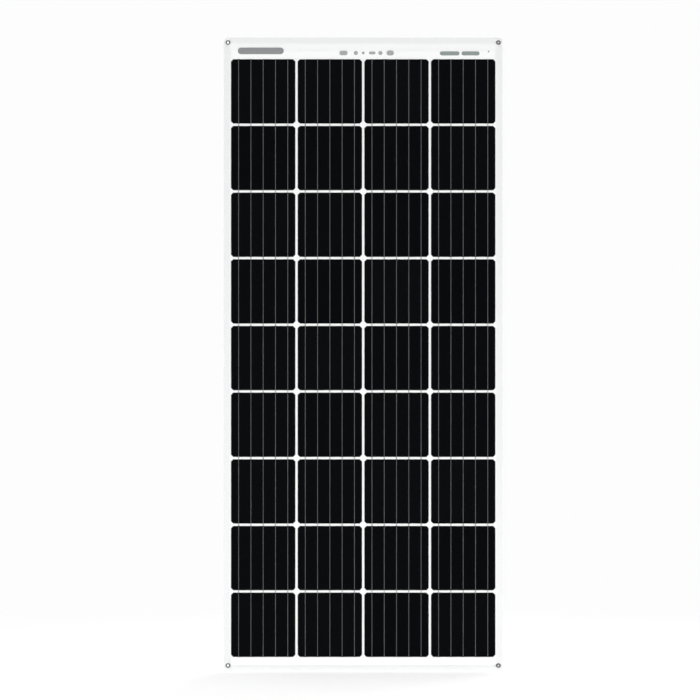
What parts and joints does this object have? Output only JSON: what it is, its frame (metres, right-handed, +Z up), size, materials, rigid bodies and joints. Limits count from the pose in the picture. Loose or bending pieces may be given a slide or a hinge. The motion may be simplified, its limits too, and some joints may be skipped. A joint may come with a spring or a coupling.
{
  "type": "flexible solar sheet",
  "caption": "Thin flexible solar sheet with dark cells on a white back sheet, corner eyelets and a slim rear junction box; it bends in one even curve.",
  "frame": {"origin": "middle of the line between the two top eyelets, in the plane of the back face", "axes": "+X across the sheet, +Y out of its back face, +Z up along its length towards the junction box end"},
  "size_m": [0.68, 0.0198, 1.5448],
  "materials": {
    "clear_film": "clear fluoropolymer film with a fine dimple emboss",
    "clear_encapsulant": "clear elastomer, laminated",
    "silicon_cell": "anti-reflection coated monocrystalline silicon, near black",
    "tinned_copper": "tin plated copper strip, satin",
    "white_back_sheet": "white polyester and glass-fibre laminate, matt",
    "white_cover_strip": "white polyester strip, matt",
    "nickel_plate": "nickel plated brass, bright",
    "bonding_pad": "white silicone, cured",
    "black_housing": "moulded, fine spark-eroded texture",
    "black_nut": "moulded polyamide, smooth",
    "seal_rubber": "moulded silicone rubber",
    "diode_epoxy": "black epoxy, moulded",
    "blank_label": "silver-grey polyester label, blank"
  },
  "bodies": {
    "row_1": {"front_film_row_1": "clear_film", "encapsulant_row_1": "clear_encapsulant", "cells_row_1": "silicon_cell", "ribbons_row_1": "tinned_copper", "back_sheet_row_1": "white_back_sheet", "bus_ribbons_top": "tinned_copper", "bus_cover_top": "white_cover_strip", "top_eyelets": "nickel_plate", "box_adhesive": "bonding_pad", "box_base": "black_housing", "box_lid_seal": "seal_rubber", "terminals": "tinned_copper", "bypass_diodes": "diode_epoxy", "gland_seals": "seal_rubber", "gland_nuts": "black_nut", "rating_label": "blank_label"},
    "row_2": {"front_film_row_2": "clear_film", "encapsulant_row_2": "clear_encapsulant", "cells_row_2": "silicon_cell", "ribbons_row_2": "tinned_copper", "back_sheet_row_2": "white_back_sheet"},
    "row_3": {"front_film_row_3": "clear_film", "encapsulant_row_3": "clear_encapsulant", "cells_row_3": "silicon_cell", "ribbons_row_3": "tinned_copper", "back_sheet_row_3": "white_back_sheet"},
    "row_4": {"front_film_row_4": "clear_film", "encapsulant_row_4": "clear_encapsulant", "cells_row_4": "silicon_cell", "ribbons_row_4": "tinned_copper", "back_sheet_row_4": "white_back_sheet"},
    "row_5": {"front_film_row_5": "clear_film", "encapsulant_row_5": "clear_encapsulant", "cells_row_5": "silicon_cell", "ribbons_row_5": "tinned_copper", "back_sheet_row_5": "white_back_sheet"},
    "row_6": {"front_film_row_6": "clear_film", "encapsulant_row_6": "clear_encapsulant", "cells_row_6": "silicon_cell", "ribbons_row_6": "tinned_copper", "back_sheet_row_6": "white_back_sheet"},
    "row_7": {"front_film_row_7": "clear_film", "encapsulant_row_7": "clear_encapsulant", "cells_row_7": "silicon_cell", "ribbons_row_7": "tinned_copper", "back_sheet_row_7": "white_back_sheet"},
    "row_8": {"front_film_row_8": "clear_film", "encapsulant_row_8": "clear_encapsulant", "cells_row_8": "silicon_cell", "ribbons_row_8": "tinned_copper", "back_sheet_row_8": "white_back_sheet"},
    "row_9": {"front_film_row_9": "clear_film", "encapsulant_row_9": "clear_encapsulant", "cells_row_9": "silicon_cell", "ribbons_row_9": "tinned_copper", "back_sheet_row_9": "white_back_sheet", "bus_ribbons_bottom": "tinned_copper", "bus_cover_bottom": "white_cover_strip", "bottom_eyelets": "nickel_plate"},
    "lid": {"box_lid": "black_housing"}
  },
  "joints": [
    {"name": "bend_1", "type": "hinge", "parent": "row_1", "child": "row_2", "pos_m": [0, -0.00125, -0.20075], "axis": [1, 0, 0], "range_deg": [-3.75, 3.75], "stiffness_Nm_per_rad": 4},
    {"name": "bend_2", "type": "hinge", "parent": "row_2", "child": "row_3", "pos_m": [0, -0.00125, -0.3635], "axis": [1, 0, 0], "range_deg": [-3.75, 3.75], "stiffness_Nm_per_rad": 4},
    {"name": "bend_3", "type": "hinge", "parent": "row_3", "child": "row_4", "pos_m": [0, -0.00125, -0.52625], "axis": [1, 0, 0], "range_deg": [-3.75, 3.75], "stiffness_Nm_per_rad": 4},
    {"name": "bend_4", "type": "hinge", "parent": "row_4", "child": "row_5", "pos_m": [0, -0.00125, -0.689], "axis": [1, 0, 0], "range_deg": [-3.75, 3.75], "stiffness_Nm_per_rad": 4},
    {"name": "bend_5", "type": "hinge", "parent": "row_5", "child": "row_6", "pos_m": [0, -0.00125, -0.85175], "axis": [1, 0, 0], "range_deg": [-3.75, 3.75], "stiffness_Nm_per_rad": 4},
    {"name": "bend_6", "type": "hinge", "parent": "row_6", "child": "row_7", "pos_m": [0, -0.00125, -1.0145], "axis": [1, 0, 0], "range_deg": [-3.75, 3.75], "stiffness_Nm_per_rad": 4},
    {"name": "bend_7", "type": "hinge", "parent": "row_7", "child": "row_8", "pos_m": [0, -0.00125, -1.17725], "axis": [1, 0, 0], "range_deg": [-3.75, 3.75], "stiffness_Nm_per_rad": 4},
    {"name": "bend_8", "type": "hinge", "parent": "row_8", "child": "row_9", "pos_m": [0, -0.00125, -1.34], "axis": [1, 0, 0], "range_deg": [-3.75, 3.75], "stiffness_Nm_per_rad": 4},
    {"name": "lid_lift", "type": "slide", "parent": "row_1", "child": "lid", "axis": [0, 1, 0], "range_m": [0, 0.03]}
  ],
  "couplings": [
    {"joint": "bend_2", "follows": "bend_1", "ratio": 1},
    {"joint": "bend_3", "follows": "bend_1", "ratio": 1},
    {"joint": "bend_4", "follows": "bend_1", "ratio": 1},
    {"joint": "bend_5", "follows": "bend_1", "ratio": 1},
    {"joint": "bend_6", "follows": "bend_1", "ratio": 1},
    {"joint": "bend_7", "follows": "bend_1", "ratio": 1},
    {"joint": "bend_8", "follows": "bend_1", "ratio": 1}
  ]
}
